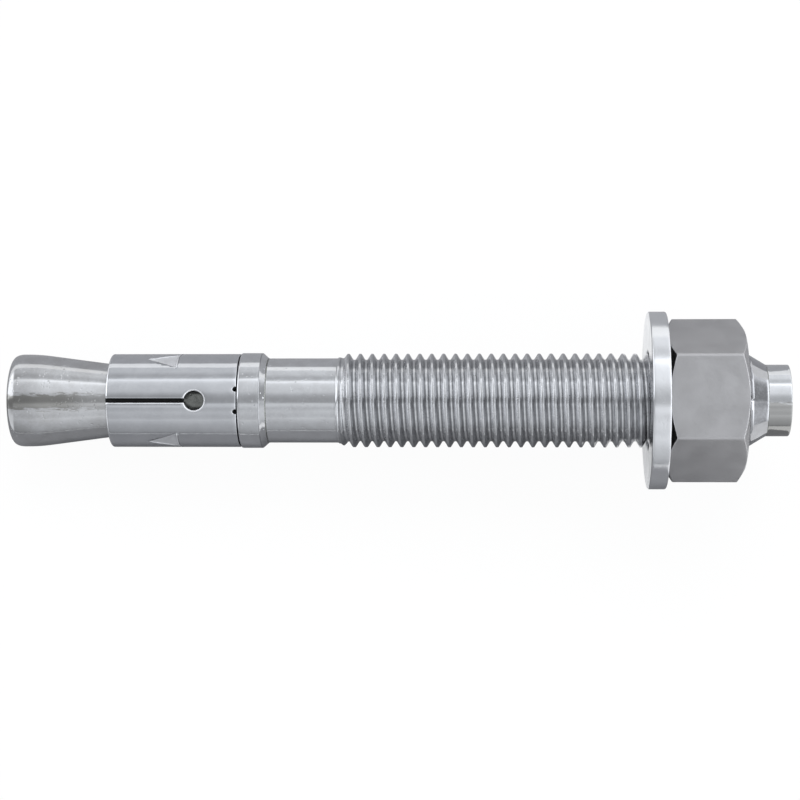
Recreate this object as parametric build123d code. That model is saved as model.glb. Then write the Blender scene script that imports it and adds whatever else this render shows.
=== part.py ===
from build123d import *
from math import atan2, cos, degrees, hypot, radians, tan
import os

# A wedge anchor, M16: a bolt with an expansion cone at one end and a thread at the other,
# a slotted sleeve rolled round the neck behind the cone, a plain washer and a hexagon nut.
#
# Each piece is drawn about the bolt's own axis, +X, measured from the flat end of the cone.
# The finished pieces are then laid down together, as the anchor lies on a flat surface: on
# the edge of the cone and on the rim of the washer, with the sleeve's open slot upward.
# Millimetres, +Z up.

# Bolt: expansion cone, and the neck behind it
cone_diameter = 15.6
cone_face_diameter = 13.4
cone_edge_length = 1.8
cone_land_length = 4.15
cone_taper_blend = 1.85
cone_half_angle = 7.5
neck_diameter = 12.3

# Bolt: collar and shank
collar_diameter = 16.0
collar_length = 3.6
collar_front_chamfer = 0.3
collar_bevel_length = 1.0
shank_diameter = 14.2
shank_length = 12.1

# Bolt: thread, M16 x 2, drawn as a plain cylinder at its outer diameter
thread_diameter = 15.74
thread_length = 67.75
thread_start_length = 0.75

# Bolt: point beyond the thread, struck to drive the anchor
point_diameter = 11.95
point_length = 3.8
point_half_angle = 31.0
point_end_round = 0.2

# Expansion sleeve: sheet rolled round the neck, in three segments joined along the back edge
sleeve_length = 21.7
sleeve_wall = 1.5
sleeve_front_chamfer = 0.25
sleeve_back_chamfer = 0.15
sleeve_bore_clearance = 0.2
sleeve_front_clearance = 0.1
sleeve_back_clearance = 0.15
segment_count = 3
slot_width = 0.7
keyhole_diameter = 3.5
keyhole_setback = 7.0
seam_width = 0.6
slot_edge_chamfer = 0.12

# Expansion sleeve: a wedge pressed into each segment, and two notches behind the upper slot
wedge_length = 4.8
wedge_width = 4.1
wedge_depth = 0.27
wedge_setback = 10.3
wedge_lip_height = 0.12
wedge_lip_length = 0.45
notch_width = 0.75
notch_depth = 0.55
notch_half_angle = 14.0

# Washer
washer_diameter = 29.7
washer_thickness = 3.0
washer_bore_clearance = 0.63
washer_edge_chamfer = 0.25

# Nut
nut_across_flats = 23.8
nut_height = 12.8
nut_corner_round = 0.5
nut_chamfer_depth = 1.1
nut_chamfer_angle = 30.0
nut_bore_clearance = 0.05
nut_countersink = 0.6
nut_seat_clearance = 0.05
nut_setback = 0.55
nut_turn = 3.15

# Stations along the bolt, from the cone's flat end
cone_drop = (cone_diameter - neck_diameter) / 2
neck_start = cone_land_length + cone_drop / tan(radians(cone_half_angle))
sleeve_front = neck_start + sleeve_front_clearance
sleeve_back = sleeve_front + sleeve_length
collar_start = sleeve_back + sleeve_back_clearance
collar_end = collar_start + collar_length
shank_start = collar_end + collar_bevel_length
thread_start = shank_start + shank_length
thread_end = thread_start + thread_length
point_cone_length = (thread_diameter - point_diameter) / 2 / tan(radians(point_half_angle))
point_start = thread_end + point_cone_length
bolt_end = point_start + point_length
nut_back = thread_end - nut_setback
nut_front = nut_back - nut_height
washer_back = nut_front - nut_seat_clearance
washer_front = washer_back - washer_thickness

# Radii of what fits round the bolt
sleeve_inner_radius = neck_diameter / 2 + sleeve_bore_clearance
sleeve_outer_radius = sleeve_inner_radius + sleeve_wall
washer_bore_radius = thread_diameter / 2 + washer_bore_clearance
nut_bore_radius = thread_diameter / 2 + nut_bore_clearance


def station(along, radius):
    """A point of a turned section: so far along the axis, so far from it."""
    return Vector(along, 0, radius)


def section(corners):
    """A closed section through its corners, each (along, radius) or (along, radius, before, after).

    A corner with before and after is rounded: from so far before it to so far after it.
    """
    places = [station(*corner[:2]) for corner in corners]
    starts, ends = [], []
    for index, corner in enumerate(corners):
        before, after = corner[2:] or (0, 0)
        place, following = places[index], places[(index + 1) % len(places)]
        starts.append(place + (places[index - 1] - place).normalized() * before)
        ends.append(place + (following - place).normalized() * after)
    outline = [Line(ends[index - 1], start) for index, start in enumerate(starts)]
    outline += [
        Bezier(start, place, end)
        for start, place, end, corner in zip(starts, places, ends, corners)
        if corner[2:]
    ]
    return make_face(outline)


def turned(face):
    """The solid that a section sweeps out about the axis."""
    return revolve(face, Axis.X)


def around(angle, piece):
    """Turn a piece about the axis, from straight up towards +Y."""
    return Rot(X=-angle) * piece


def cone_bolt():
    """The bolt, in one piece: cone, neck, collar, shank, thread and point."""
    cone_edge_height = (cone_diameter - cone_face_diameter) / 2
    return turned(
        section(
            [
                (0, 0),
                (0, cone_diameter / 2, cone_edge_height, cone_edge_length),
                (cone_land_length, cone_diameter / 2, cone_taper_blend, cone_taper_blend),
                (neck_start, neck_diameter / 2),
                (collar_start, neck_diameter / 2),
                (collar_start, collar_diameter / 2 - collar_front_chamfer),
                (collar_start + collar_front_chamfer, collar_diameter / 2),
                (collar_end, collar_diameter / 2),
                (shank_start, shank_diameter / 2),
                (thread_start, shank_diameter / 2),
                (thread_start + thread_start_length, thread_diameter / 2),
                (thread_end, thread_diameter / 2),
                (point_start, point_diameter / 2),
                (bolt_end, point_diameter / 2, point_end_round, point_end_round),
                (bolt_end, 0),
            ]
        )
    )


def radial_bar(front, back, width):
    """A bar through the sleeve's wall above the axis, from front to back along it."""
    reach = 2 * sleeve_wall
    bar = Box(back - front, width, sleeve_wall + 2 * reach, align=(Align.MIN, Align.CENTER, Align.MIN))
    return Pos(front, 0, sleeve_inner_radius - reach) * bar


def radial_pin(along, diameter):
    """A round pin through the sleeve's wall above the axis."""
    reach = 2 * sleeve_wall
    pin = Cylinder(diameter / 2, sleeve_wall + 2 * reach, align=(Align.CENTER, Align.CENTER, Align.MIN))
    return Pos(along, 0, sleeve_inner_radius - reach) * pin


def pressed_wedge():
    """What a wedge takes from the sleeve's upper side: a flat sinking from a point to a step behind."""
    back = sleeve_back - wedge_setback
    front = back - wedge_length
    above = sleeve_outer_radius + sleeve_wall
    side = section(
        [
            (front, sleeve_outer_radius),
            (front, above),
            (back, above),
            (back, sleeve_outer_radius - wedge_depth),
        ]
    )
    plan = make_face(
        Polyline((front, 0), (back, wedge_width / 2), (back, -wedge_width / 2), close=True)
    )
    return extrude(side, wedge_width / 2, both=True) & extrude(plan, above)


def wedge_lip():
    """The lip that the press raises behind a wedge's step, on the sleeve's upper side."""
    front = sleeve_back - wedge_setback
    back = front + wedge_lip_length
    root = sleeve_outer_radius - sleeve_wall / 2
    ridge = section(
        [
            (front, root),
            (front, sleeve_outer_radius + wedge_lip_height),
            (back, sleeve_outer_radius),
            (back, root),
        ]
    )
    return turned(ridge) & radial_bar(front, back, wedge_width)


def is_cut_edge(edge):
    """Whether an edge is a side of a slot, a keyhole, a notch or the seam, on the sleeve's outside."""
    heights = [hypot(point.Y, point.Z) for point in (edge @ 0, edge @ 0.5, edge @ 1)]
    return edge.geom_type != GeomType.CIRCLE and min(heights) > sleeve_outer_radius - 0.001


def expansion_sleeve():
    """The sleeve: a slotted tube, open along one seam, with a wedge pressed into each segment."""
    margin = sleeve_wall
    sleeve = turned(
        section(
            [
                (sleeve_front - margin, sleeve_inner_radius),
                (sleeve_front - margin, sleeve_outer_radius),
                (sleeve_back + margin, sleeve_outer_radius),
                (sleeve_back + margin, sleeve_inner_radius),
            ]
        )
    )
    ends = turned(
        section(
            [
                (sleeve_front, 0),
                (sleeve_front, sleeve_outer_radius - sleeve_front_chamfer),
                (sleeve_front + sleeve_front_chamfer, sleeve_outer_radius),
                (sleeve_back - sleeve_back_chamfer, sleeve_outer_radius),
                (sleeve_back, sleeve_outer_radius - sleeve_back_chamfer),
                (sleeve_back, 0),
            ]
        )
    )
    keyhole = sleeve_back - keyhole_setback
    slot = radial_bar(sleeve_front - 2 * margin, keyhole, slot_width)
    slot += radial_pin(keyhole, keyhole_diameter)
    seam = radial_bar(sleeve_front - 2 * margin, sleeve_back + 2 * margin, seam_width)
    notch_bottom = sleeve_back - notch_depth + notch_width / 2
    notch = radial_bar(notch_bottom, sleeve_back + 2 * margin, notch_width)
    notch += radial_pin(notch_bottom, notch_width)
    pitch = 360 / segment_count
    for segment in range(segment_count - 1):
        sleeve -= around(segment * pitch, slot)
    sleeve -= around(-pitch, seam)
    for side in (-1, 1):
        sleeve -= around(side * notch_half_angle, notch)
    sleeve = chamfer(sleeve.edges().filter_by(is_cut_edge), slot_edge_chamfer) & ends
    for segment in range(segment_count):
        sleeve -= around((segment + 0.5) * pitch, pressed_wedge())
        sleeve += around((segment + 0.5) * pitch, wedge_lip())
    return sleeve


def washer():
    """A plain washer with all its edges chamfered."""
    face = section(
        [
            (washer_front, washer_bore_radius),
            (washer_front, washer_diameter / 2),
            (washer_back, washer_diameter / 2),
            (washer_back, washer_bore_radius),
        ]
    )
    return turned(chamfer(face.vertices(), washer_edge_chamfer))


def hex_nut():
    """A hexagon nut, chamfered at both faces, with a countersunk bore round the thread."""
    corner_radius = nut_across_flats / 2 / cos(radians(30))
    face_radius = corner_radius - nut_chamfer_depth / tan(radians(nut_chamfer_angle))
    sink_radius = nut_bore_radius + nut_countersink
    blank = turned(
        section(
            [
                (nut_front, sink_radius),
                (nut_front, face_radius),
                (nut_front + nut_chamfer_depth, corner_radius),
                (nut_back - nut_chamfer_depth, corner_radius),
                (nut_back, face_radius),
                (nut_back, sink_radius),
                (nut_back - nut_countersink, nut_bore_radius),
                (nut_front + nut_countersink, nut_bore_radius),
            ]
        )
    )
    hexagon = RegularPolygon(nut_across_flats / 2, 6, major_radius=False)
    hexagon = fillet(hexagon.vertices(), nut_corner_round)
    prism = Pos(X=nut_front) * extrude(Plane.YZ * hexagon, nut_height)
    return around(nut_turn, blank & prism)


def lying(pieces):
    """Lay the pieces down together: cone edge and washer rim on the ground, centred over it."""
    rise = (washer_diameter - cone_diameter) / 2
    run = washer_front + washer_edge_chamfer - cone_edge_length
    tilted = [Rot(Y=-degrees(atan2(rise, run))) * piece for piece in pieces]
    box = Compound(tilted).bounding_box()
    to_ground = Pos(-box.center().X, -box.center().Y, -box.min.Z)
    return [to_ground * piece for piece in tilted]


names = ["cone_bolt", "expansion_sleeve", "washer", "hex_nut"]
pieces = lying([cone_bolt(), expansion_sleeve(), washer(), hex_nut()])
os.makedirs("parts", exist_ok=True)
for name, piece in zip(names, pieces):
    export_step(piece, f"parts/{name}.step")
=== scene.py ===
from math import asin, cos, pi, radians, sin, sqrt, tan, tau

import bmesh
import bpy
import numpy as np
from mathutils import Matrix, Vector, noise
from mathutils.geometry import delaunay_2d_cdt


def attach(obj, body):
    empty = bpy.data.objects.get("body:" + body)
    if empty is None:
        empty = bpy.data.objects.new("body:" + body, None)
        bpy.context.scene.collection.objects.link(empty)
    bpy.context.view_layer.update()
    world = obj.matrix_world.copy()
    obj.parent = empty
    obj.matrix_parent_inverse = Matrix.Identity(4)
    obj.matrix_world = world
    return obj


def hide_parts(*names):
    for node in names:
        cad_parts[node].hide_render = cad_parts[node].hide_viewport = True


# The wedge anchor's visible pieces. Each is drawn in the bolt's own frame, in millimetres: x along
# the axis from the cone's flat end, and an angle about it from straight up towards +Y. BOLT lays
# that frame down as the CAD does, on the cone's edge and the washer's rim, and turns it to metres.

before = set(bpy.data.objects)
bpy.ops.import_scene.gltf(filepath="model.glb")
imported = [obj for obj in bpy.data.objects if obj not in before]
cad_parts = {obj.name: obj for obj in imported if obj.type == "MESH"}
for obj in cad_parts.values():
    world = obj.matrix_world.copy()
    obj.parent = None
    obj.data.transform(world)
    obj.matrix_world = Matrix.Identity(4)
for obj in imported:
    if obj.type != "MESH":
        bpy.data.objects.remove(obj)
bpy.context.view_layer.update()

TILT = 3.836392
AXIS_START = (-64.840734, 0.0, 7.673996)
MM = 0.001
BOLT = (
    Matrix.Scale(MM, 4)
    @ Matrix.Translation(AXIS_START)
    @ Matrix.Rotation(-radians(TILT), 4, "Y")
)

# Sizes of the CAD model, along the axis and out from it
CONE_RADIUS, CONE_LAND = 7.8, 4.15
NECK_RADIUS, NECK_START = 6.15, 16.683
COLLAR_RADIUS, COLLAR_START, COLLAR_END = 8.0, 38.633, 42.233
SHANK_RADIUS, SHANK_START = 7.1, 43.233
THREAD_START, THREAD_END = 55.333, 123.083
POINT_RADIUS, POINT_START, BOLT_END = 5.975, 126.237, 130.037
SLEEVE_IN, SLEEVE_OUT = 6.35, 7.85
SLEEVE_FRONT, SLEEVE_BACK = 16.783, 38.483
WASHER_FRONT, WASHER_BACK = 106.683, 109.683
WASHER_BORE, WASHER_RADIUS = 8.5, 14.85
NUT_FRONT, NUT_BACK = 109.733, 122.533
NUT_FLAT, NUT_FACE_RADIUS, NUT_SINK_RADIUS = 11.9, 11.836, 8.52
NUT_TURN = 3.15

# Thread: M16 x 2, rolled. CREST_AT is where a crest passes straight up, and ALONG and DEPTH are its
# section: how far from the crest's middle, and how far below the crest.
PITCH = 2.0
CREST_RADIUS = 7.87
CREST_AT = 81.14
ALONG = np.array([0.0, 0.13, 0.2, 0.27, 0.61, 0.74, 0.84, 0.93, 1.0])
DEPTH = np.array([0.0, 0.0, 0.035, 0.13, 0.687, 0.9, 0.985, 1.01, 1.015])
THREAD_DEPTH = DEPTH[-1]
CREST_RUN_IN, ROOT_RUN_IN, RUN_OUT = 0.9, 1.6, 0.6  # lengths over which it rises and ends
BEAD_HEIGHT, START_HEIGHT = 0.17, 0.14  # above the shank, of the rolled bead and the first groove
COLUMNS = 128

WELD, SLIVER = 2e-4, 1e-5  # points nearer than this are one, and edges shorter than this go


# ---------------------------------------------------------------- mesh building

def thread_depth(x, angle):
    """How far the thread's surface lies below its crest there."""
    offset = (x - CREST_AT + PITCH * angle / tau + PITCH / 2) % PITCH - PITCH / 2
    return np.interp(np.abs(offset), ALONG, DEPTH)


def thread_rows(low, high, angles):
    """Where the rows of a mesh run along a right-hand thread, cut off square at both ends."""
    offsets = np.concatenate([-ALONG[-2::-1], ALONG])
    first = int(np.floor((low - CREST_AT) / PITCH)) - 1
    last = int(np.ceil((high - CREST_AT) / PITCH)) + 2
    starts = CREST_AT + PITCH * np.arange(first, last + 1)
    rows = (starts[:, None] + offsets[None, :]).reshape(-1)
    return np.clip(rows[:, None] - PITCH * angles[None, :] / tau, low, high)


def path_rows(corners, columns, closed=False):
    """Rows of points through corners, each (x, r, rounding before, rounding after, steps, parts).

    x and r may differ by column. A rounding is cut in steps, and the run after it in parts.
    """
    spread = np.zeros(columns)
    places = [np.array([spread + corner[0], spread + corner[1]]) for corner in corners]
    most = 0.48  # the share of a run that one rounding may take
    least = 1e-9
    ends, arcs = [], []
    for index, corner in enumerate(corners):
        place, before, after = places[index], corner[2], corner[3]
        back = places[index - 1] - place
        ahead = places[(index + 1) % len(places)] - place
        at_end = not closed and index in (0, len(corners) - 1)
        if at_end or (before == 0 and after == 0):
            arcs.append([place])
            ends.append(place)
            continue
        reach = np.maximum(np.hypot(*back), least)
        start = place + back / reach * np.minimum(before, most * reach)
        reach = np.maximum(np.hypot(*ahead), least)
        end = place + ahead / reach * np.minimum(after, most * reach)
        steps = np.linspace(0, 1, corner[4] + 1)
        arcs.append([start * (1 - t) ** 2 + place * 2 * t * (1 - t) + end * t**2 for t in steps])
        ends.append(end)
    rows = []
    for index, arc in enumerate(arcs):
        rows += arc
        if closed or index < len(arcs) - 1:
            following = arcs[(index + 1) % len(arcs)][0]
            parts = corners[index][5]
            rows += [
                ends[index] + (following - ends[index]) * part / parts for part in range(1, parts)
            ]
    rows = np.array(rows)
    return rows[:, 0], rows[:, 1]


def ripple(x, r, angles, height, size, seed):
    """A small uneven rise of the surface, a few microns high, with no seam round the axis."""
    found = np.zeros(x.shape)
    for row in range(x.shape[0]):
        for column, angle in enumerate(angles):
            spot = (
                x[row, column] / size + seed,
                r[row, column] * cos(angle) / size,
                r[row, column] * sin(angle) / size,
            )
            found[row, column] = noise.noise(Vector(spot))
    return height * found


def in_space(x, r, angle):
    """Points of the bolt's frame from where they are along the axis, how far out, and the angle."""
    return np.stack([x, r * np.sin(angle), r * np.cos(angle)], axis=-1)


def grid_faces(rows, columns, first=0, closed=False):
    """Quads between neighbouring rows of a grid whose last column lies on its first."""
    faces = []
    for row in range(rows if closed else rows - 1):
        a, b = first + row * columns, first + (row + 1) % rows * columns
        faces += [(a + c, a + c + 1, b + c + 1, b + c) for c in range(columns - 1)]
    return faces


# ---------------------------------------------------------------- materials

class Nodes:
    """Short names for building a material's node tree."""

    def __init__(self, tree):
        self.tree = tree

    def add(self, kind, inputs=(), **settings):
        node = self.tree.nodes.new(kind)
        for key, value in settings.items():
            setattr(node, key, value)
        for key, value in dict(inputs).items():
            if isinstance(value, bpy.types.NodeSocket):
                self.tree.links.new(value, node.inputs[key])
            else:
                node.inputs[key].default_value = value
        return node

    def math(self, operation, first, second=0.0, clamp=False):
        return self.add(
            "ShaderNodeMath", {0: first, 1: second}, operation=operation, use_clamp=clamp
        ).outputs[0]

    def stretched(self, vector, scale):
        return self.add(
            "ShaderNodeVectorMath", {0: vector, 1: scale}, operation="MULTIPLY"
        ).outputs[0]

    def noise(self, vector, scale, detail=3.0, rough=0.5, distortion=0.0):
        inputs = {
            "Vector": vector,
            "Scale": scale,
            "Detail": detail,
            "Roughness": rough,
            "Distortion": distortion,
        }
        return self.add("ShaderNodeTexNoise", inputs).outputs["Fac"]

    def remap(self, value, low, high, to_low=0.0, to_high=1.0):
        inputs = {"Value": value, 1: low, 2: high, 3: to_low, 4: to_high}
        return self.add("ShaderNodeMapRange", inputs, interpolation_type="SMOOTHSTEP").outputs[0]

    def mix(self, share, first, second):
        node = self.add("ShaderNodeMix", {0: share, 6: first, 7: second}, data_type="RGBA")
        return node.outputs[2]

    def bump(self, height, distance, normal=None):
        inputs = {"Height": height, "Distance": distance, "Strength": 1.0}
        if normal is not None:
            inputs["Normal"] = normal
        return self.add("ShaderNodeBump", inputs).outputs[0]


# Painted shade: a darker stripe painted into the zinc's colour where the metal would reflect darker
# surroundings. These are its colour, the width of its ragged edge, its waver, the length of its
# fade and the share that stays after it
PAINTED_SHADE_COLOUR = (0.33, 0.325, 0.31, 1.0)
PAINTED_SHADE_EDGE, PAINTED_SHADE_WAVER, PAINTED_SHADE_FADE, PAINTED_SHADE_REST = 0.2, 0.4, 6.0, 0.45
LEAST_ROUGHNESS = 0.05


def zinc(
    name, light, dark, smooth, rough, cloud=0.4, grain=1.0, pits=0.0, streaks=0.0, painted_shade=None
):
    """Zinc plate on steel, from its lightest and darkest colour and its least and most roughness.

    cloud is how close its clouds of tone and gloss are (a noise scale per mm), and grain how much
    of the common fine unevenness it has. pits and streaks are how deep they are, in mm. The painted
    shade is a dull ragged stripe along the axis, a darker band painted into the colour where the
    metal would reflect darker surroundings: its middle and half width in y, where it starts to fade
    in x, and how strong it is.
    """
    material = bpy.data.materials.new(name)
    material.use_nodes = True
    made = Nodes(material.node_tree)
    shader = material.node_tree.nodes["Principled BSDF"]
    shader.inputs["Metallic"].default_value = 1.0
    place = made.add("ShaderNodeTexCoord").outputs["Object"]
    placing = {
        "Vector": place,
        "Location": tuple(part * MM for part in AXIS_START),
        "Rotation": (0.0, -radians(TILT), 0.0),
        "Scale": (MM, MM, MM),
    }
    place = made.add("ShaderNodeMapping", placing, vector_type="TEXTURE").outputs[0]

    clouds = made.noise(place, cloud, 5.0, 0.55, 0.3)
    fine = made.noise(place, 2.6, 4.0, 0.6)
    large_tone, small_tone = 0.75, 0.25
    tone = made.math(
        "ADD",
        made.remap(clouds, 0.3, 0.7, 0.0, large_tone),
        made.remap(fine, 0.35, 0.65, 0.0, small_tone),
    )
    gloss = made.remap(clouds, 0.32, 0.68, smooth, rough)
    gloss = made.math("ADD", gloss, made.remap(fine, 0.3, 0.7, -0.02, 0.03))

    grain_height, fine_height = 0.003, 0.006
    normal = made.bump(made.noise(place, 7.0, 2.0, 0.5), grain_height * grain * MM)
    normal = made.bump(fine, fine_height * grain * MM, normal)
    if streaks:
        lines = made.noise(made.stretched(place, (0.25, 5.0, 5.0)), 1.0, 4.0, 0.65)
        normal = made.bump(lines, streaks * MM, normal)
        gloss = made.math("ADD", gloss, made.remap(lines, 0.45, 0.7, 0.0, 0.06))
    if pits:
        cells = made.add(
            "ShaderNodeTexVoronoi", {"Vector": place, "Scale": 1.7, "Randomness": 1.0}
        ).outputs["Distance"]
        pit = made.remap(cells, 0.1, 0.32, 1.0, 0.0)
        where = made.remap(made.noise(place, 0.55, 3.0), 0.5, 0.62)
        pit = made.math("MULTIPLY", pit, where)
        normal = made.bump(made.math("SUBTRACT", 1.0, pit), pits * MM, normal)
        darker = made.math("MULTIPLY", pit, 0.25)
        tone = made.math("SUBTRACT", tone, darker, clamp=True)
    colour = made.mix(tone, (*dark, 1.0), (*light, 1.0))
    # painted shade: a darker stripe mixed into the colour along the axis
    if painted_shade:
        middle, half, reach, share = painted_shade
        spot = made.add("ShaderNodeSeparateXYZ", {0: place}).outputs
        ragged = made.noise(made.stretched(place, (0.5, 2.0, 2.0)), 1.0, 4.0, 0.6)
        waver = made.remap(ragged, 0.3, 0.7, -PAINTED_SHADE_WAVER, PAINTED_SHADE_WAVER)
        off = made.math("ADD", spot["Y"], waver)
        off = made.math("ABSOLUTE", made.math("SUBTRACT", off, middle))
        stripe = made.remap(off, half - PAINTED_SHADE_EDGE, half + PAINTED_SHADE_EDGE, share, 0.0)
        fade = made.remap(spot["X"], reach, reach + PAINTED_SHADE_FADE, 1.0, PAINTED_SHADE_REST)
        colour = made.mix(made.math("MULTIPLY", stripe, fade), colour, PAINTED_SHADE_COLOUR)
    links = material.node_tree.links
    links.new(colour, shader.inputs["Base Color"])
    links.new(made.math("MAXIMUM", gloss, LEAST_ROUGHNESS), shader.inputs["Roughness"])
    links.new(normal, shader.inputs["Normal"])
    return material


# Name: lightest colour, darkest colour, least and most roughness, cloud and grain, and what else
FINISHES = {
    "cone_zinc": (
        (0.63, 0.635, 0.645),
        (0.53, 0.53, 0.53),
        (0.09, 0.15, 0.35, 0.4),
        # painted shade: a darker stripe along the cone's top, in its colour
        {"pits": 0.03, "painted_shade": (-0.2, 1.25, 9, 1)},
    ),
    # painted shade: the neck inside the sleeve, near black where it shows through the slots
    "neck_painted_shade_zinc": ((0.05, 0.05, 0.05), (0.02, 0.02, 0.02), (0.4, 0.5, 0.8), {}),
    # painted shade: the neck where it shows through the keyholes, and three edges of the bolt, dark
    # grey
    "seen_neck_and_edge_painted_shade_zinc": (
        (0.28, 0.285, 0.27),
        (0.16, 0.165, 0.155),
        (0.2, 0.3, 0.8),
        {"pits": 0.03},
    ),
    "shank_zinc": (
        (0.69, 0.7, 0.715),
        (0.62, 0.625, 0.635),
        (0.06, 0.11, 0.5, 0.3),
        {"pits": 0.02, "streaks": 0.002},
    ),
    "crest_zinc": (
        (0.62, 0.625, 0.64),
        (0.52, 0.525, 0.535),
        (0.1, 0.17, 0.8, 0.5),
        {"pits": 0.03},
    ),
    "taper_zinc": ((0.47, 0.475, 0.49), (0.41, 0.41, 0.42), (0.05, 0.08, 0.6, 0.3), {}),
    # painted shade: one flank of each thread turn, the collar's rear edge and the back of each
    # wedge's lip
    "flank_and_edge_painted_shade_zinc": ((0.4, 0.405, 0.415), (0.34, 0.345, 0.355), (0.12, 0.2, 0.8, 0.5), {}),
    # painted highlight: the other flank of each thread turn, and the sleeve's front edge
    "flank_and_edge_painted_highlight_zinc": ((0.88, 0.885, 0.9), (0.8, 0.805, 0.82), (0.19, 0.26, 0.8, 0.5), {}),
    "point_zinc": (
        (0.66, 0.67, 0.685),
        (0.6, 0.61, 0.62),
        (0.06, 0.1, 0.6, 0.3),
        # painted shade: the point's colour darker on its -Y side
        {"painted_shade": (-4.3, 4.0, 140, 0.8)},
    ),
    "sleeve_zinc": (
        (0.66, 0.67, 0.69),
        (0.59, 0.6, 0.62),
        (0.06, 0.11, 0.3, 0.3),
        {"streaks": 0.001},
    ),
    # painted shade: the sleeve's cut edges and its bore, dark as in the slots
    "sleeve_cut_painted_shade_zinc": ((0.12, 0.122, 0.125), (0.07, 0.072, 0.075), (0.3, 0.42, 0.8), {}),
    # painted highlight: the wedges, the fronts of their lips, and the rims of the slots and
    # keyholes
    "wedge_and_rim_painted_highlight_zinc": ((0.85, 0.855, 0.87), (0.78, 0.785, 0.8), (0.42, 0.5, 0.6, 0.6), {}),
    "washer_zinc": (
        (0.78, 0.79, 0.805),
        (0.72, 0.725, 0.74),
        (0.12, 0.2, 0.3, 0.6),
        {"pits": 0.01},
    ),
    "nut_zinc": ((0.505, 0.5, 0.505), (0.465, 0.46, 0.463), (0.36, 0.44, 0.25), {}),
    # painted shade: the nut's chamfer that faces the washer, dark in the gap between them
    "nut_under_painted_shade_zinc": ((0.1, 0.1, 0.1), (0.06, 0.06, 0.06), (0.36, 0.44, 0.25), {}),
}
ZINC = {
    name: zinc(name, light, dark, *measures, **more)
    for name, (light, dark, measures, more) in FINISHES.items()
}


def make_piece(name, points, faces, finish_of_face, finishes, body, node):
    """A mesh object from points in the bolt's frame, welded, that stands for a CAD node."""
    mesh = bpy.data.meshes.new(name)
    mesh.from_pydata([tuple(point) for point in points], [], faces)
    for face, number in zip(mesh.polygons, finish_of_face):
        face.material_index = number
        face.use_smooth = True
    shape = bmesh.new()
    shape.from_mesh(mesh)
    bmesh.ops.remove_doubles(shape, verts=shape.verts, dist=WELD)
    bmesh.ops.dissolve_degenerate(shape, edges=shape.edges, dist=SLIVER)
    bmesh.ops.recalc_face_normals(shape, faces=shape.faces)
    shape.to_mesh(mesh)
    shape.free()
    mesh.transform(BOLT)
    for finish in finishes:
        mesh.materials.append(ZINC[finish])
    piece = bpy.data.objects.new(name, mesh)
    bpy.context.scene.collection.objects.link(piece)
    weighted = piece.modifiers.new("even_normals", "WEIGHTED_NORMAL")
    weighted.mode = "FACE_AREA"
    weighted.weight = 50
    weighted.keep_sharp = True
    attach(piece, body)
    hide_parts(node)
    return piece


def finish_numbers(finishes):
    """The number by which a piece's faces call each of its finishes."""
    return {finish: number for number, finish in enumerate(finishes)}


# ---------------------------------------------------------------- bolt

BOLT_FINISHES = [
    "cone_zinc",
    "neck_painted_shade_zinc",
    "shank_zinc",
    "crest_zinc",
    "flank_and_edge_painted_shade_zinc",
    "point_zinc",
    "seen_neck_and_edge_painted_shade_zinc",
    "flank_and_edge_painted_highlight_zinc",
    "taper_zinc",
]
# Where a finish begins, after the cone's, and the edges that have one of their own: their place,
# how far they reach each way, and the finish. The neck inside the sleeve is painted near black,
# as painted shade, and dark grey where it shows through the keyholes. The edges at the collar's
# rear, the shank's start and the point's start are painted dark, as painted shade over their
# highlights
BOLT_STRETCHES = [
    (NECK_START - 0.3, "neck_painted_shade_zinc"),
    (SLEEVE_BACK - 9.0, "seen_neck_and_edge_painted_shade_zinc"),
    (COLLAR_START - 0.05, "shank_zinc"),
    (THREAD_START, "crest_zinc"),
    (THREAD_END, "taper_zinc"),
    (POINT_START + 0.08, "point_zinc"),
]
BOLT_EDGES = [
    (COLLAR_END, 0.12, "flank_and_edge_painted_shade_zinc"),
    (SHANK_START, 0.13, "seen_neck_and_edge_painted_shade_zinc"),
    (POINT_START, 0.08, "seen_neck_and_edge_painted_shade_zinc"),
]
# How uneven forging, rolling and tumbling leave the bolt, in mm, at places along it
UNEVEN_AT = [0, 1, 15, 17, 39, 43, 55, 57, 122, 124, 130]
UNEVEN_HEIGHT = [0.004, 0.008, 0.008, 0.003, 0.003, 0.004, 0.004, 0.008, 0.008, 0.003, 0.002]


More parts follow.
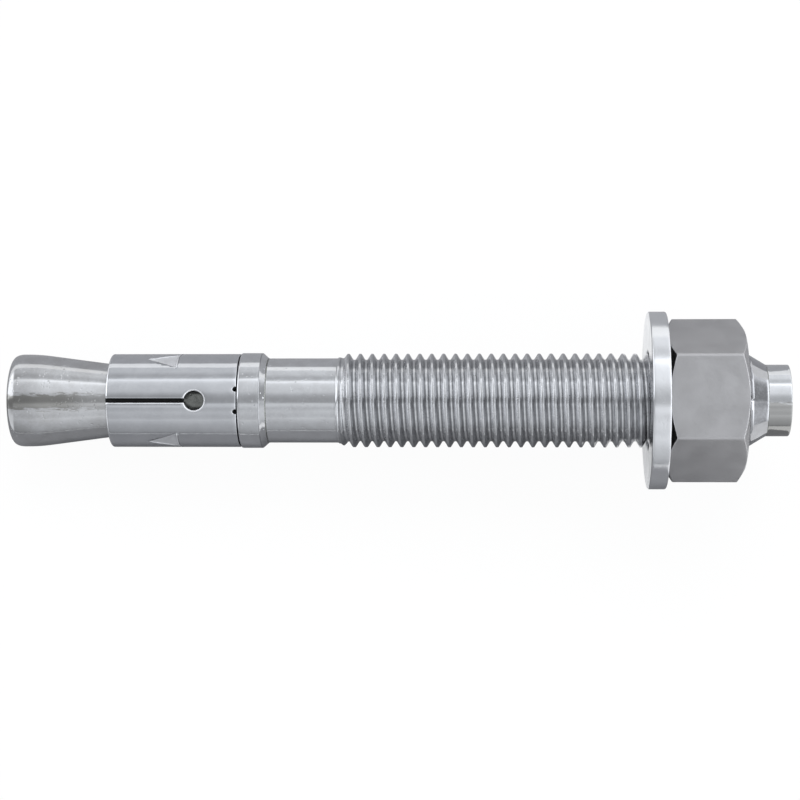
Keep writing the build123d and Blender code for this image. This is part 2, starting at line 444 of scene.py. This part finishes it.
def make_bolt():
    """The bolt in one piece, with its rolled thread running out at both ends."""
    angles = np.linspace(0, tau, COLUMNS + 1)
    columns = COLUMNS + 1
    waver = 0.05 * np.sin(3 * angles + 1) + 0.04 * np.sin(8 * angles)
    first_groove = SHANK_RADIUS + START_HEIGHT
    front = path_rows(
        [
            (0, 0, 0, 0, 1, 5),
            (0, CONE_RADIUS, 1.1, 1.8, 12, 5),
            (CONE_LAND, CONE_RADIUS, 1.85, 1.85, 8, 26),
            (NECK_START, NECK_RADIUS, 0.6, 0.6, 3, 24),
            (COLLAR_START, NECK_RADIUS, 0.15, 0.15, 3, 2),
            (COLLAR_START, COLLAR_RADIUS, 0.35, 0.35, 6, 10),
            (COLLAR_END, COLLAR_RADIUS, 0.1, 0.1, 5, 3),
            (SHANK_START, SHANK_RADIUS, 0.12, 0.12, 5, 40),
            (THREAD_START - 0.42 + waver, SHANK_RADIUS, 0.06, 0.06, 3, 1),
            (THREAD_START - 0.22 + waver, SHANK_RADIUS + BEAD_HEIGHT, 0.06, 0.06, 3, 1),
            (THREAD_START, first_groove, 0, 0, 1, 1),
        ],
        columns,
    )
    x = thread_rows(THREAD_START, THREAD_END, angles)
    depth = thread_depth(x, angles[None, :])
    root_radius = CREST_RADIUS - THREAD_DEPTH
    crest_from = [THREAD_START, THREAD_START + CREST_RUN_IN]
    root_from = [THREAD_START, THREAD_START + ROOT_RUN_IN]
    crest = np.interp(x, crest_from, [first_groove, CREST_RADIUS])
    root = np.interp(x, root_from, [first_groove, root_radius])
    thread = crest - depth * (crest - root) / THREAD_DEPTH
    end_depth = np.interp(x, [THREAD_END - RUN_OUT, THREAD_END], [THREAD_DEPTH, 0.0])
    thread = np.maximum(thread, CREST_RADIUS - end_depth)
    end = path_rows(
        [
            (THREAD_END, CREST_RADIUS, 0, 0, 1, 6),
            (POINT_START, POINT_RADIUS, 0.07, 0.07, 4, 14),
            (BOLT_END, POINT_RADIUS, 0.22, 0.22, 6, 6),
            (BOLT_END, 0, 0, 0, 1, 1),
        ],
        columns,
    )
    xs = np.concatenate([front[0], x, end[0]])
    rs = np.concatenate([front[1], thread, end[1]])
    middle = xs.mean(axis=1)
    amount = np.interp(middle, UNEVEN_AT, UNEVEN_HEIGHT)[:, None]
    uneven = ripple(xs, rs, angles, 1.0, 2.3, 3.0) + ripple(xs, rs, angles, 0.4, 0.9, 11.0)
    below_form = 0.6  # lowers it all, so that the highest rise stays inside the solid
    still = 0.5  # the middles of the end faces stay where they are
    rs = np.where(rs > still, rs + (uneven - below_form) * amount, rs)
    points = in_space(xs, rs, angles[None, :]).reshape(-1, 3)
    rows = xs.shape[0]
    faces = grid_faces(rows, columns)
    number = finish_numbers(BOLT_FINISHES)
    between = (middle[1:] + middle[:-1]) / 2
    finish = np.full(rows - 1, number["cone_zinc"])
    for begin, name in BOLT_STRETCHES:
        finish[between > begin] = number[name]
    for at, reach, name in BOLT_EDGES:
        finish[np.abs(between - at) < reach] = number[name]
    finish[(between < 0.01) | (between > BOLT_END - 0.01)] = number["shank_zinc"]
    finish = np.repeat(finish, COLUMNS).reshape(rows - 1, COLUMNS)
    # the thread's flanks, by the depths of a face's two rows added up, and its place. One flank of
    # each turn is painted dark, as painted shade, and the other, short of the nut, is painted
    # light, as a painted highlight, as if the light fell from one side
    below = depth[:-1] + depth[1:]
    along = (x[:-1] + x[1:]) / 2
    rising = (along - CREST_AT + PITCH * angles[None, :] / tau) % PITCH > PITCH / 2
    dark = (below > 0.02) & (below < 1.9) & ~rising
    light = (below > 0.1) & (below < 1.45) & rising & (along < NUT_BACK - 2)
    start = front[0].shape[0]
    thread_finish = finish[start : start + x.shape[0] - 1]
    thread_finish[dark[:, :-1]] = number["flank_and_edge_painted_shade_zinc"]
    thread_finish[light[:, :-1]] = number["flank_and_edge_painted_highlight_zinc"]
    return make_piece(
        "bolt",
        points,
        faces,
        finish.reshape(-1),
        BOLT_FINISHES,
        "bolt",
        "cone_bolt",
    )


# ---------------------------------------------------------------- washer and nut

def make_washer():
    """The washer, with its edges rounded as stamping and tumbling leave them."""
    columns = 181
    uneven = 0.008
    angles = np.linspace(0, tau, columns)
    x, r = path_rows(
        [
            (WASHER_FRONT, WASHER_BORE, 0.25, 0.25, 5, 8),
            (WASHER_FRONT, WASHER_RADIUS, 0.3, 0.3, 6, 8),
            (WASHER_BACK, WASHER_RADIUS, 0.3, 0.3, 6, 8),
            (WASHER_BACK, WASHER_BORE, 0.25, 0.25, 5, 6),
        ],
        columns,
        closed=True,
    )
    r = r + ripple(x, r, angles, uneven, 2.5, 5.0) - uneven
    points = in_space(x, r, angles[None, :]).reshape(-1, 3)
    faces = grid_faces(x.shape[0], columns, closed=True)
    return make_piece(
        "washer_ring",
        points,
        faces,
        [0] * len(faces),
        ["washer_zinc"],
        "washer",
        "washer",
    )


# The nut's thread is this far out from the bolt's, and cut off at this radius inside. The front of
# its bore opens steeply, behind the washer, so that it clears the bolt's taper where it runs off.
NUT_THREAD_GAP, NUT_MINOR_RADIUS = 0.07, 6.93
FRONT_SINK_SLOPE = 0.72


def hexagon(angle):
    """How far out the nut's flats are at an angle, with the corners between them rounded."""
    corner_round = 0.6
    off = (angle + pi / 6) % (pi / 3) - pi / 6
    flat = NUT_FLAT / np.cos(off)
    middle = (NUT_FLAT - corner_round) / cos(pi / 6)
    from_corner = pi / 6 - np.abs(off)
    inside = np.maximum(corner_round**2 - (middle * np.sin(from_corner)) ** 2, 0)
    rounded = middle * np.cos(from_corner) + np.sqrt(inside)
    touch = np.arctan((NUT_FLAT - corner_round) * tan(pi / 6) / NUT_FLAT)
    return np.where(np.abs(off) > touch, rounded, flat)


def make_nut():
    """The hexagon nut: chamfered faces, a countersunk bore, and a thread to run on the bolt's."""
    flat_steps = np.concatenate([np.linspace(0, 27.5, 12), [28.4], np.linspace(28.9, 30, 5)])
    sextant = np.radians(np.concatenate([flat_steps, 60 - flat_steps[-2:0:-1]]))
    turn = radians(NUT_TURN)
    local = np.concatenate([sextant + step * pi / 3 for step in range(6)] + [[tau]])
    angles = local + turn
    columns = len(angles)
    reach = hexagon(local)
    drop = (reach - NUT_FACE_RADIUS) * tan(pi / 6)
    bore_x = thread_rows(NUT_FRONT, NUT_BACK, angles)
    bore_r = CREST_RADIUS - thread_depth(bore_x, angles[None, :]) + NUT_THREAD_GAP
    bore_r = np.maximum(bore_r, NUT_MINOR_RADIUS)
    bore_r = np.maximum(bore_r, NUT_SINK_RADIUS - FRONT_SINK_SLOPE * (bore_x - NUT_FRONT))
    bore_r = np.maximum(bore_r, NUT_SINK_RADIUS - (NUT_BACK - bore_x))
    x, r = path_rows(
        [
            (NUT_BACK, NUT_SINK_RADIUS, 0, 0, 1, 5),
            (NUT_BACK, NUT_FACE_RADIUS, 0.12, 0.12, 4, 3),
            (NUT_BACK - drop, reach, 0.16, 0.16, 5, 14),
            (NUT_FRONT + drop, reach, 0.16, 0.16, 5, 3),
            (NUT_FRONT, NUT_FACE_RADIUS, 0.12, 0.12, 4, 5),
            (NUT_FRONT, NUT_SINK_RADIUS, 0, 0, 1, 1),
        ],
        columns,
    )
    outside = r > NUT_SINK_RADIUS + 0.1
    r = np.where(outside, r + ripple(x, r, angles, 0.006, 3.0, 7.0) - 0.004, r)
    xs, rs = np.concatenate([bore_x, x]), np.concatenate([bore_r, r])
    points = in_space(xs, rs, angles[None, :]).reshape(-1, 3)
    faces = grid_faces(xs.shape[0], columns)
    x_middle, r_middle = (xs[:-1] + xs[1:]) / 2, (rs[:-1] + rs[1:]) / 2
    # the chamfer that faces the washer is painted dark, as painted shade in the gap
    under = (x_middle < NUT_FRONT + drop - 0.1) & (r_middle > NUT_FACE_RADIUS - 0.03)
    under = under[:, :-1].reshape(-1).astype(int)
    return make_piece(
        "hexagon_nut",
        points,
        faces,
        under,
        ["nut_zinc", "nut_under_painted_shade_zinc"],
        "nut",
        "hex_nut",
    )


# ---------------------------------------------------------------- sleeve

SLEEVE_FINISHES = [
    "sleeve_zinc",
    "sleeve_cut_painted_shade_zinc",
    "wedge_and_rim_painted_highlight_zinc",
    "flank_and_edge_painted_shade_zinc",
    "flank_and_edge_painted_highlight_zinc",
]
SLOTS, SEAM = (0, 120), 240  # degrees
# A rounded rim, RIM_ROUND wide and painted light as a painted highlight, goes along one side of
# each slot and round its keyhole, across the edge of the CAD's keyhole, whose radius is 1.75.
SLOT_HALF, KEYHOLE_RADIUS, KEYHOLE_AT = 0.35, 1.66, SLEEVE_BACK - 7.0
SEAM_HALF = 0.3
NOTCH_RADIUS, NOTCH_AT, NOTCH_ANGLE = 0.375, SLEEVE_BACK - 0.55 + 0.375, 14.0
FRONT_ROUND, BACK_ROUND, CUT_ROUND, RIM_ROUND = 0.25, 0.15, 0.16, 0.24
BORE_EDGE, BORE_ROUND = 0.06, 0.3
# Pressed wedges: each one's angle, and the side on which its lip is swept back
WEDGES = ((-60, -1), (60, 1), (180, 1))
WEDGE_BACK, WEDGE_LENGTH, WEDGE_HALF = SLEEVE_BACK - 10.3, 4.8, 2.05
WEDGE_DEPTH, WEDGE_LIP = 0.27, 0.12
SWEEP_BACK, SWEEP_TURN = 0.4, 0.12  # of the lip's end, in mm and radians
# Across a wedge from side to side, how much of the lip's height is there, and the lip's section:
# how far behind the wedge, and what share of its height
ACROSS = np.array([-1, -0.97, -0.9, -0.7, -0.45, -0.2, 0, 0.2, 0.45, 0.7, 0.9, 0.97, 1])
LIP_SHARE = np.array([0, 0.4, 0.8, 1, 1, 1, 1, 1, 1, 1, 1, 0.8, 0])
LIP = [
    (0.01, 0.3),
    (0.04, 0.75),
    (0.09, 0.96),
    (0.15, 1),
    (0.22, 0.94),
    (0.27, 0.7),
    (0.32, 0.3),
    (0.4, 0.05),
    (0.5, 0),
]
# Spacing of the net of points inside the sheet, and their least gap from an edge
NET_X, NET_S, NET_SHIFT, NET_GAP = 0.55, 0.42, 0.137, 0.17


def straight(start, end, parts, round_by):
    """Points from start to end, without the end, each with the rounding of that edge."""
    run = end[0] - start[0], end[1] - start[1]
    return [
        (start[0] + run[0] * k / parts, start[1] + run[1] * k / parts, round_by)
        for k in range(parts)
    ]


def sleeve_outline(radius):
    """The sleeve's edge at a radius, unrolled: x, the way round the outside, and its rounding."""

    def round_at(feature, off):
        return SLEEVE_OUT * (radians(feature) + asin(off / radius))

    def slot(feature):
        lean = asin(SLOT_HALF / KEYHOLE_RADIUS)
        x = KEYHOLE_AT - KEYHOLE_RADIUS * cos(lean)
        low, high = round_at(feature, -SLOT_HALF), round_at(feature, SLOT_HALF)
        run = straight((SLEEVE_FRONT, low), (x, low), 22, RIM_ROUND)
        for turn in np.linspace(-pi + lean, pi - lean, 45)[:-1]:
            off = KEYHOLE_RADIUS * sin(turn)
            place = KEYHOLE_AT + KEYHOLE_RADIUS * cos(turn)
            run.append((place, round_at(feature, off), RIM_ROUND))
        return run + straight((x, high), (SLEEVE_FRONT, high), 22, CUT_ROUND), low, high

    def notch(feature):
        low, high = round_at(feature, -NOTCH_RADIUS), round_at(feature, NOTCH_RADIUS)
        run = straight((SLEEVE_BACK, high), (NOTCH_AT, high), 2, CUT_ROUND)
        for turn in np.linspace(pi / 2, 3 * pi / 2, 13)[:-1]:
            off = NOTCH_RADIUS * sin(turn)
            run.append((NOTCH_AT + NOTCH_RADIUS * cos(turn), round_at(feature, off), CUT_ROUND))
        return run + straight((NOTCH_AT, low), (SLEEVE_BACK, low), 2, CUT_ROUND), low, high

    start, end = round_at(SEAM - 360, SEAM_HALF), round_at(SEAM, -SEAM_HALF)
    outline, at = [], start
    for feature in SLOTS:
        run, low, high = slot(feature)
        outline += straight((SLEEVE_FRONT, at), (SLEEVE_FRONT, low), 35, FRONT_ROUND) + run
        at = high
    outline += straight((SLEEVE_FRONT, at), (SLEEVE_FRONT, end), 35, FRONT_ROUND)
    outline += straight((SLEEVE_FRONT, end), (SLEEVE_BACK, end), 36, CUT_ROUND)
    at = end
    for feature, parts in ((NOTCH_ANGLE, 68), (-NOTCH_ANGLE, 8)):
        run, low, high = notch(feature)
        outline += straight((SLEEVE_BACK, at), (SLEEVE_BACK, high), parts, BACK_ROUND) + run
        at = low
    outline += straight((SLEEVE_BACK, at), (SLEEVE_BACK, start), 32, BACK_ROUND)
    outline += straight((SLEEVE_BACK, start), (SLEEVE_FRONT, start), 36, CUT_ROUND)
    return np.array(outline)


def inward(outline):
    """For each point of a closed outline, the step into the sheet that rounds both its edges."""
    points, rounding = outline[:, :2], outline[:, 2]
    ahead = np.roll(points, -1, axis=0) - points
    ahead /= np.hypot(ahead[:, 0], ahead[:, 1])[:, None]
    after = np.stack([-ahead[:, 1], ahead[:, 0]], axis=1)
    x, s = points.T
    if np.sum(x * np.roll(s, -1) - np.roll(x, -1) * s) < 0:
        after = -after
    before, before_by = np.roll(after, 1, axis=0), np.roll(rounding, 1)
    steps = []
    for n, m, d, e in zip(before, after, before_by, rounding):
        turn = n[0] * m[1] - n[1] * m[0]
        if abs(turn) > 0.3:
            steps.append(((d * m[1] - e * n[1]) / turn, (e * n[0] - d * m[0]) / turn))
        else:
            both = n + m
            both /= np.hypot(*both)
            steps.append(both * (d + e) / 2 / max(0.5, float(both @ n)))
    return np.array(steps)


def apart(points, loop):
    """How far points are from a closed loop, and whether they are inside it."""
    a, b = loop, np.roll(loop, -1, axis=0)
    run = b - a
    long = np.maximum((run**2).sum(axis=1), 1e-12)
    found, inside = [], []
    for p in points:
        t = np.clip(((p - a) * run).sum(axis=1) / long, 0, 1)
        near = a + run * t[:, None] - p
        found.append(sqrt((near**2).sum(axis=1).min()))
        crosses = (a[:, 1] > p[1]) != (b[:, 1] > p[1])
        at = a[:, 0] + (p[1] - a[:, 1]) / np.where(run[:, 1] == 0, 1e-12, run[:, 1]) * run[:, 0]
        inside.append(bool(np.count_nonzero(crosses & (p[0] < at)) % 2))
    return np.array(found), np.array(inside)


def fill(loop, holes):
    """Triangles that fill a loop with a regular net, apart from the holes in it."""
    low, high = loop.min(axis=0), loop.max(axis=0)
    xs = np.arange(low[0] + 0.3, high[0], NET_X)
    ss = np.arange(low[1] + 0.2, high[1], NET_S)
    net = np.array([(x + NET_SHIFT * (k % 2), s) for k, s in enumerate(ss) for x in xs])
    gap, keep = apart(net, loop)
    keep &= gap > NET_GAP
    for hole in holes:
        gap, inside = apart(net, hole)
        keep &= ~inside & (gap > NET_GAP)
    points, edges = [], []
    for ring in [loop, *holes]:
        first, count = len(points), len(ring)
        points += [Vector(p) for p in ring]
        edges += [(first + k, first + (k + 1) % count) for k in range(count)]
    points += [Vector(p) for p in net[keep]]
    found = delaunay_2d_cdt(points, edges, [], 1, 1e-6)
    places = np.array([tuple(place) for place in found[0]])
    faces = [tuple(face) for face in found[2]]
    middles = np.array([places[list(face)].mean(axis=0) for face in faces])
    inside = np.zeros(len(faces), bool)
    for hole in holes:
        inside |= apart(middles, hole)[1]
    return places, [face for face, out in zip(faces, inside) if not out]


def wedge_patch(middle, side):
    """A pressed wedge: a flat that sinks from its point to a step, and the lip raised behind it.

    Rows of its mesh run across it, and the outer ones lie on the sleeve's skin. The lip's end
    on the given side is swept back round the sleeve.
    """
    rows = []
    for along in np.linspace(0.02, 1, 17):
        turn = asin(WEDGE_HALF * along / SLEEVE_OUT) * ACROSS
        radii = np.minimum((SLEEVE_OUT - WEDGE_DEPTH * along) / np.cos(turn), SLEEVE_OUT)
        rows.append((np.full(len(ACROSS), WEDGE_BACK - WEDGE_LENGTH * (1 - along)), turn, radii))
    swept = np.maximum(side * ACROSS - 0.5, 0) ** 2 / 0.25
    for reach, height in LIP:
        x = WEDGE_BACK + reach + SWEEP_BACK * swept
        radii = SLEEVE_OUT + WEDGE_LIP * height * LIP_SHARE[:: 1 if side > 0 else -1]
        rows.append((x, turn + side * SWEEP_TURN * swept, radii))
    x, turn, radii = (np.array(part) for part in zip(*rows))
    radii[0] = SLEEVE_OUT
    radii[:, [0, -1]] = SLEEVE_OUT
    flat = np.stack([x, SLEEVE_OUT * turn + middle], axis=-1)
    edge = [flat[0], flat[1:, -1], flat[-1, -2::-1], flat[-2:0:-1, 0]]
    return flat, radii, np.concatenate(edge)


def make_sleeve():
    """The sleeve, drawn as the flat strip that it was rolled from, and bent round the neck."""
    outer, inner = sleeve_outline(SLEEVE_OUT), sleeve_outline(SLEEVE_IN)
    step = inward(outer)
    levels = []
    for bend in np.linspace(0, pi / 2, 6):
        ring = outer[:, :2] + step * (1 - cos(bend))
        drop = outer[:, 2] * (1 - sin(bend))
        levels.append((ring, SLEEVE_OUT - drop))
    wedges = [wedge_patch(SLEEVE_OUT * radians(angle), side) for angle, side in WEDGES]
    skin, skin_faces = fill(levels[-1][0], [edge for flat, radii, edge in wedges])
    bore_loop = inner[:, :2]
    bore_start = bore_loop + inward(inner) * BORE_ROUND
    bore, bore_faces = fill(bore_start, [])

    number = finish_numbers(SLEEVE_FINISHES)
    # the cut edges and the bore take the painted shade
    plain, cut = number["sleeve_zinc"], number["sleeve_cut_painted_shade_zinc"]
    wedge, dark = number["wedge_and_rim_painted_highlight_zinc"], number["flank_and_edge_painted_shade_zinc"]
    # the rims of the slots and keyholes and the sleeve's front edge are painted light, as painted
    # highlights
    edges = [outer[:, 2] == RIM_ROUND, outer[:, 2] == FRONT_ROUND]
    edge_finish = np.select(edges, [wedge, number["flank_and_edge_painted_highlight_zinc"]], plain)
    count = len(outer)
    points, faces, finish = [], [], []

    def add_points(flat, radii):
        first = sum(len(p) for p in points)
        angle = flat[:, 1] / SLEEVE_OUT
        radii = np.broadcast_to(radii, (len(flat),))
        uneven = np.array([noise.noise(Vector((p[0] / 3, p[1] / 3, 2.0))) for p in flat])
        points.append(in_space(flat[:, 0], radii + 0.004 * (uneven - 0.5), angle))
        return first

    def add_band(first, second, band_finish):
        for k in range(count):
            after = (k + 1) % count
            faces.append((first + k, first + after, second + after, second + k))
            finish.append(int(band_finish[k]))

    def add_sheet(places, radius, sheet_faces, sheet_finish):
        first = add_points(places, radius)
        faces.extend(tuple(first + v for v in face) for face in sheet_faces)
        finish.extend([sheet_finish] * len(sheet_faces))

    firsts = [add_points(ring, radii) for ring, radii in levels]
    for a, b in zip(firsts[:-1], firsts[1:]):
        add_band(a, b, edge_finish)
    edge = add_points(bore_loop, SLEEVE_IN + BORE_EDGE)
    inside = add_points(bore_start, SLEEVE_IN)
    middle = add_points((levels[0][0] + bore_loop) / 2, (levels[0][1] + SLEEVE_IN) / 2)
    for a, b in ((firsts[0], middle), (middle, edge), (edge, inside)):
        add_band(a, b, [cut] * count)
    add_sheet(skin, SLEEVE_OUT, skin_faces, plain)
    for flat, radii, _ in wedges:
        rows, columns = radii.shape
        first = add_points(flat.reshape(-1, 2), radii.reshape(-1))
        faces += grid_faces(rows, columns, first)
        # the wedge and the front of its lip, painted light as a painted highlight, then the lip's
        # back, painted dark as painted shade, then its foot
        bands = [wedge] * (rows - 5) + [dark] * 2 + [plain] * 2
        finish += [band for band in bands for _ in range(columns - 1)]
    add_sheet(bore, SLEEVE_IN, bore_faces, cut)
    return make_piece(
        "slotted_sleeve",
        np.concatenate(points),
        faces,
        finish,
        SLEEVE_FINISHES,
        "sleeve",
        "expansion_sleeve",
    )


# ---------------------------------------------------------------- floor, light and camera

def make_sheet(name, corners, height):
    """A flat piece of the stage over corners in x and y, in metres, and its empty material."""
    mesh = bpy.data.meshes.new(name)
    mesh.from_pydata([(x, y, height) for x, y in corners], [], [(0, 1, 2, 3)])
    sheet = bpy.data.objects.new(name, mesh)
    bpy.context.scene.collection.objects.link(sheet)
    material = bpy.data.materials.new(name)
    material.use_nodes = True
    material.node_tree.nodes.clear()
    mesh.materials.append(material)
    return sheet, Nodes(material.node_tree)


def oblong(x_low, x_high, y_low, y_high):
    """The corners of an oblong on the floor."""
    return [(x_low, y_low), (x_high, y_low), (x_high, y_high), (x_low, y_high)]


def make_floor():
    """A plain pale floor that looks white to the camera and keeps the object's shadow."""
    to_camera, to_gloss = 0.95, 0.42  # how much of the plain white each kind of ray sees
    floor, made = make_sheet("floor", oblong(-2.0, 2.0, -2.0, 2.0), 0)
    seen = made.add("ShaderNodeLightPath").outputs
    share = made.math("MULTIPLY", seen["Is Camera Ray"], to_camera)
    share = made.math("ADD", share, made.math("MULTIPLY", seen["Is Glossy Ray"], to_gloss))
    pale, white = {"Color": (0.8, 0.8, 0.8, 1.0)}, {"Color": (1.0, 1.0, 1.0, 1.0), "Strength": 1.0}
    diffuse = made.add("ShaderNodeBsdfDiffuse", pale).outputs[0]
    shining = made.add("ShaderNodeEmission", white).outputs[0]
    both = made.add("ShaderNodeMixShader", {0: share, 1: diffuse, 2: shining}).outputs[0]
    made.add("ShaderNodeOutputMaterial", {"Surface": both})


def make_card(name, corners, grey):
    """A grey card on the floor beside the object, seen only in its gloss."""
    card, made = make_sheet(name, corners, 0.0002)
    colour = (grey, grey, grey * 1.02, 1.0)
    diffuse = made.add("ShaderNodeBsdfDiffuse", {"Color": colour}).outputs[0]
    made.add("ShaderNodeOutputMaterial", {"Surface": diffuse})
    card.visible_camera = False
    card.visible_diffuse = False
    card.visible_shadow = False


# The first card narrows to its left end, and the inner ones stop just before the washer.
FAR, NEAR = 0.33, 0.23  # greys
CARDS = [
    ("card_far", [(-0.3, 0.019), (0.072, 0.019), (0.072, 0.08), (-0.3, 0.017)], FAR),
    ("card_near", oblong(-0.6, 0.072, -0.6, -0.019), NEAR),
    ("card_far_inner", oblong(-0.3, 0.038, 0.002, 0.019), FAR),
    ("card_near_inner", oblong(-0.6, 0.038, -0.019, -0.002), NEAR),
    ("card_far_end", oblong(0.0425, 0.3, 0.002, 0.019), FAR),
    ("card_near_end", oblong(0.0425, 0.6, -0.019, -0.002), NEAR),
    ("card_far_tip", oblong(0.072, 0.3, 0.019, 0.034), FAR),
    ("card_left", oblong(-0.6, -0.064, -0.002, 0.002), NEAR),
]


# Studio panorama: (degrees round the X axis, from straight up towards +Y, and brightness). This is
# what lies along the bolt
AROUND = [
    (-180, 0.30),
    (-92, 0.30),
    (-87, 0.36),
    (-83, 0.46),
    (-62, 0.62),
    (-57, 0.70),
    (-53, 0.74),
    (-50, 0.84),
    (-46, 0.72),
    (-40, 0.70),
    (-30, 0.80),
    (-25, 0.74),
    (-20, 0.69),
    (-15, 0.86),
    (-9, 0.92),
    (-5, 0.50),
    (5, 0.50),
    (12, 0.58),
    (17, 0.70),
    (23, 0.88),
    (35, 0.94),
    (43, 1.02),
    (48, 1.16),
    (51, 1.45),
    (54, 1.45),
    (57, 0.74),
    (65, 0.62),
    (71, 0.74),
    (76, 0.85),
    (120, 0.85),
    (180, 0.50),
]
# the walls at the cone's end and at the nut's end
LEFT = [
    (-180, 0.5),
    (-97, 0.5),
    (-85, 1.0),
    (-45, 0.85),
    (-35, 0.7),
    (-15, 0.42),
    (4, 0.42),
    (13, 1.6),
    (75, 1.9),
    (92, 0.9),
    (180, 0.6),
]
RIGHT = [
    (-180, 0.5),
    (-95, 0.6),
    (-80, 1.8),
    (-60, 2.5),
    (0, 2.9),
    (35, 3.4),
    (60, 2.9),
    (90, 1.9),
    (180, 0.8),
]
# and what lies low over the floor past the nut's end
END = [
    (-180, 0.40),
    (-95, 0.50),
    (-85, 0.62),
    (-72, 0.80),
    (-36, 0.80),
    (-22, 0.60),
    (-14, 0.60),
    (-7, 0.76),
    (0, 0.50),
    (6, 0.42),
    (45, 0.45),
    (62, 0.50),
    (72, 0.62),
    (84, 1.00),
    (95, 1.00),
    (180, 0.40),
]
PEAK = 4.0  # the brightest that the panorama may be
TINT = (0.975, 1.0, 1.04)


def make_world():
    """A studio round the object: pale walls with strip lights and darker gaps along the bolt."""
    world = bpy.data.worlds.new("studio")
    bpy.context.scene.world = world
    world.use_nodes = True
    tree = world.node_tree
    tree.nodes.clear()
    made = Nodes(tree)
    ray = made.add("ShaderNodeTexCoord").outputs["Generated"]
    parts = made.add("ShaderNodeSeparateXYZ", {0: ray}).outputs
    angle = made.math("ARCTAN2", parts["Y"], parts["Z"])
    place = made.math("ADD", made.math("DIVIDE", angle, tau), 0.5)

    def levels(table):
        ramp = made.add("ShaderNodeValToRGB", {"Fac": place})
        stops = ramp.color_ramp.elements
        while len(stops) > 1:
            stops.remove(stops[-1])
        for k, (turn, level) in enumerate(table):
            stop = stops[0] if k == 0 else stops.new(turn / 360 + 0.5)
            stop.position = turn / 360 + 0.5
            stop.color = (*(level / PEAK * part for part in TINT), 1.0)
        return ramp.outputs["Color"]

    # the more a direction points along the bolt, the more an end's wall takes over
    colour = levels(AROUND)
    brighter = made.remap(parts["X"], -0.35, 0.35, 0.8, 1.4)
    colour = made.stretched(colour, brighter)
    colour = made.mix(made.remap(parts["X"], -0.42, -0.56), colour, levels(LEFT))
    colour = made.mix(made.remap(parts["X"], 0.62, 0.74), colour, levels(RIGHT))
    # END fills the directions round one that points 13 degrees below X
    ahead = made.math("MULTIPLY", parts["X"], 1.018)
    above = made.math("MULTIPLY", parts["Z"], 0.232)
    low = made.math("SUBTRACT", ahead, above)
    colour = made.mix(made.remap(low, 0.785, 0.81), colour, levels(END))
    seen = made.add("ShaderNodeLightPath").outputs["Is Camera Ray"]
    colour = made.mix(seen, colour, (1 / PEAK, 1 / PEAK, 1 / PEAK, 1.0))
    sky = made.add("ShaderNodeBackground", {"Color": colour, "Strength": PEAK}).outputs[0]
    made.add("ShaderNodeOutputWorld", {"Surface": sky})


def make_lamp():
    """One large soft lamp from above, on the +Y side."""
    lamp = bpy.data.lights.new("key", "AREA")
    lamp.shape = "RECTANGLE"
    lamp.size, lamp.size_y = 0.9, 0.6
    lamp.energy = 12.0
    holder = bpy.data.objects.new("key", lamp)
    holder.location = (0.1, 1.0, 1.0)
    holder.rotation_euler = (-holder.location).to_track_quat("-Z", "Y").to_euler()
    holder.visible_camera = False
    holder.visible_glossy = False
    bpy.context.scene.collection.objects.link(holder)


CAMERA_AT = (83.0, 0.084, 349.5)  # in the bolt's frame, where +z is up from its axis
CAMERA_LEAN = 2.9  # degrees that the view leans from the bolt's frame towards the cone


def make_camera():
    """The camera, straight above the bolt's slot, a little towards the nut."""
    camera = bpy.data.cameras.new("camera")
    camera.sensor_width = 36.0
    camera.lens = 93.6
    camera.clip_start = 0.01
    lean = radians(CAMERA_LEAN)
    turn = Matrix(((cos(lean), 0, sin(lean)), (0, 1, 0), (-sin(lean), 0, cos(lean)))).to_4x4()
    holder = bpy.data.objects.new("camera", camera)
    holder.matrix_world = (
        Matrix.Translation(BOLT @ Vector(CAMERA_AT))
        @ Matrix.Rotation(-radians(TILT), 4, "Y")
        @ turn
    )
    bpy.context.scene.collection.objects.link(holder)
    bpy.context.scene.camera = holder


make_bolt()
make_sleeve()
make_washer()
make_nut()
make_floor()
for card in CARDS:
    make_card(*card)
make_world()
make_lamp()
make_camera()
bpy.context.scene.view_settings.view_transform = "Standard"
